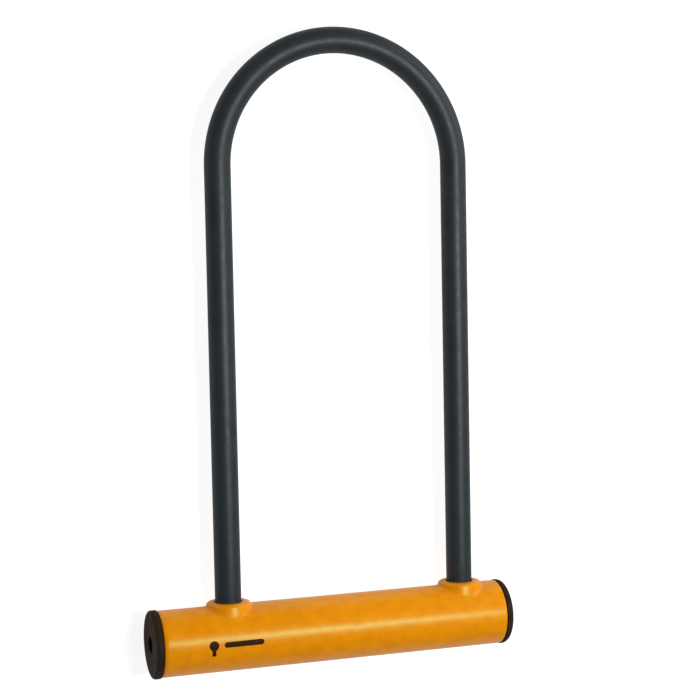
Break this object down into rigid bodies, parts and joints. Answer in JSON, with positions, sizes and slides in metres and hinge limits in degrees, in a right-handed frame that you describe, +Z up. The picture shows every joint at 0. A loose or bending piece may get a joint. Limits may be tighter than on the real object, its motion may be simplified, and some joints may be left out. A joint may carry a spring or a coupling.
{
  "type": "u lock",
  "caption": "U-shaped bicycle lock: coated steel shackle seated in a round crossbar with a keyhole in one end cap.",
  "frame": {"origin": "on the surface that the lock lies on, under the middle of its outline", "axes": "+X along the crossbar from the keyhole end to the blind end, +Y along the shackle's legs from the crossbar to the bend, +Z up, out of the lock's front"},
  "size_m": [0.2004, 0.34, 0.036],
  "materials": {
    "sleeve_orange": "satin moulded plastic",
    "cap_black": "moulded plastic with a soft sheen",
    "shackle_vinyl": "dipped vinyl, satin",
    "hardened_steel": "ground and hardened",
    "plain_steel": "drawn",
    "spring_steel": "bright",
    "brass": "machined",
    "zinc": "die-cast zinc, matt",
    "nylon": "moulded nylon",
    "rubber": "matt"
  },
  "bodies": {
    "crossbar": {"sleeve": "sleeve_orange", "inner_tube": "plain_steel", "key_end_cap": "cap_black", "blind_end_cap": "cap_black", "blind_end_plug": "hardened_steel", "blind_end_rivet": "plain_steel", "leg_bush_key_side": "nylon", "leg_bush_blind_side": "nylon", "foot_pad_key_side": "rubber", "foot_pad_blind_side": "rubber", "plate_guide_upper_key_side": "nylon", "plate_guide_lower_key_side": "nylon", "plate_guide_upper_blind_side": "nylon", "plate_guide_lower_blind_side": "nylon", "drill_guard": "hardened_steel", "cylinder_housing": "zinc", "cylinder_rivet": "plain_steel", "spring_cover": "brass", "pin_spring_1": "spring_steel", "pin_spring_2": "spring_steel", "pin_spring_3": "spring_steel", "pin_spring_4": "spring_steel", "pin_spring_5": "spring_steel"},
    "shackle": {"shackle_bar": "hardened_steel", "shackle_coat": "shackle_vinyl"},
    "plug": {"plug": "brass", "plug_clip": "spring_steel", "tail_cam": "hardened_steel"},
    "lock_plate": {"lock_plate": "hardened_steel"},
    "driver_pin_1": {"driver_pin_1": "plain_steel"},
    "key_pin_1": {"key_pin_1": "brass"},
    "driver_pin_2": {"driver_pin_2": "plain_steel"},
    "key_pin_2": {"key_pin_2": "brass"},
    "driver_pin_3": {"driver_pin_3": "plain_steel"},
    "key_pin_3": {"key_pin_3": "brass"},
    "driver_pin_4": {"driver_pin_4": "plain_steel"},
    "key_pin_4": {"key_pin_4": "brass"},
    "driver_pin_5": {"driver_pin_5": "plain_steel"},
    "key_pin_5": {"key_pin_5": "brass"}
  },
  "joints": [
    {"name": "shackle_pull", "type": "slide", "parent": "crossbar", "child": "shackle", "axis": [0, 1, 0], "range_m": [0, 0.06]},
    {"name": "plug_turn", "type": "hinge", "parent": "crossbar", "child": "plug", "pos_m": [-0.0915, -0.15205, 0.018], "axis": [1, 0, 0], "range_deg": [0, 90]},
    {"name": "plate_slide", "type": "slide", "parent": "crossbar", "child": "lock_plate", "axis": [0, 0, 1], "range_m": [0, 0.0034]},
    {"name": "driver_pin_1_slide", "type": "slide", "parent": "crossbar", "child": "driver_pin_1", "axis": [0, 1, 0], "range_m": [0, 0.0016], "stiffness_N_per_m": 80, "springref_m": -0.002, "deforming": ["pin_spring_1"]},
    {"name": "driver_pin_2_slide", "type": "slide", "parent": "crossbar", "child": "driver_pin_2", "axis": [0, 1, 0], "range_m": [0, 0.0016], "stiffness_N_per_m": 80, "springref_m": -0.002, "deforming": ["pin_spring_2"]},
    {"name": "driver_pin_3_slide", "type": "slide", "parent": "crossbar", "child": "driver_pin_3", "axis": [0, 1, 0], "range_m": [0, 0.0016], "stiffness_N_per_m": 80, "springref_m": -0.002, "deforming": ["pin_spring_3"]},
    {"name": "driver_pin_4_slide", "type": "slide", "parent": "crossbar", "child": "driver_pin_4", "axis": [0, 1, 0], "range_m": [0, 0.0016], "stiffness_N_per_m": 80, "springref_m": -0.002, "deforming": ["pin_spring_4"]},
    {"name": "driver_pin_5_slide", "type": "slide", "parent": "crossbar", "child": "driver_pin_5", "axis": [0, 1, 0], "range_m": [0, 0.0016], "stiffness_N_per_m": 80, "springref_m": -0.002, "deforming": ["pin_spring_5"]},
    {"name": "key_pin_1_slide", "type": "slide", "parent": "plug", "child": "key_pin_1", "axis": [0, 0, 1], "range_m": [0, 0.0006]},
    {"name": "key_pin_2_slide", "type": "slide", "parent": "plug", "child": "key_pin_2", "axis": [0, 0, 1], "range_m": [0, 0.0006]},
    {"name": "key_pin_3_slide", "type": "slide", "parent": "plug", "child": "key_pin_3", "axis": [0, 0, 1], "range_m": [0, 0.0006]},
    {"name": "key_pin_4_slide", "type": "slide", "parent": "plug", "child": "key_pin_4", "axis": [0, 0, 1], "range_m": [0, 0.0006]},
    {"name": "key_pin_5_slide", "type": "slide", "parent": "plug", "child": "key_pin_5", "axis": [0, 0, 1], "range_m": [0, 0.0006]}
  ],
  "couplings": [
    {"joint": "plug_turn", "follows": "plate_slide", "rad_per_m": 461.99}
  ]
}
